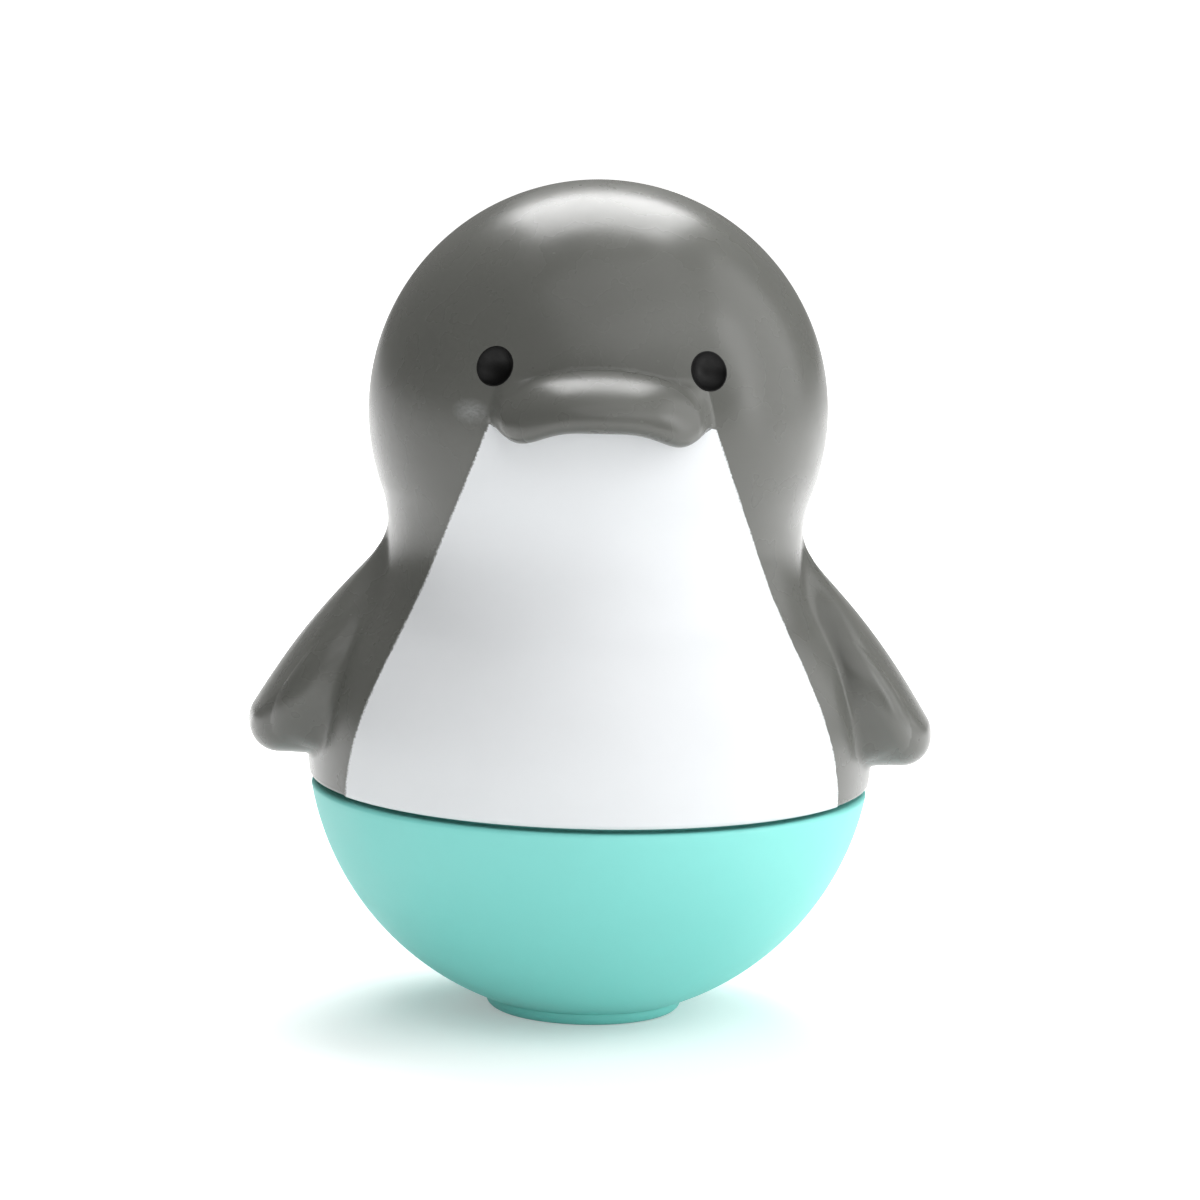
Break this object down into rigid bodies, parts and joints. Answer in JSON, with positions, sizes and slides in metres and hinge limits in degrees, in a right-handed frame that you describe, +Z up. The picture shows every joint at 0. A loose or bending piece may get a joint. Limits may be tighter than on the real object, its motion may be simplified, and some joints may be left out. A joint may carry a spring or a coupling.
{
  "type": "roly poly toy",
  "caption": "Round-bottomed wobbling animal toy: moulded grey body with bill, flippers and painted belly on a weighted aqua bowl that rights itself.",
  "frame": {"origin": "on the floor, in the middle of the flat foot, on the axis of the round bowl", "axes": "+Z up through the crown of the head; the face and bill look along -Y; the figure's left flipper points along +X"},
  "size_m": [0.087, 0.0722, 0.1059],
  "materials": {
    "grey_shell": "satin moulded ABS",
    "white_paint": "satin sprayed paint",
    "black_paint": "semi-gloss paint",
    "aqua_bowl": "satin-gloss moulded ABS",
    "cast_ballast": "as cast, oiled",
    "foam_pad": "closed-cell EVA foam",
    "zinc_steel": "zinc plated"
  },
  "bodies": {
    "root": {"front_shell": "grey_shell", "back_shell": "grey_shell", "belly_paint": "white_paint", "left_eye_paint": "black_paint", "right_eye_paint": "black_paint", "base_bowl": "aqua_bowl", "foot_cap": "aqua_bowl", "ballast_weight": "cast_ballast", "ballast_pad": "foam_pad", "ballast_screw": "zinc_steel", "screw_washer": "zinc_steel"}
  },
  "joints": []
}
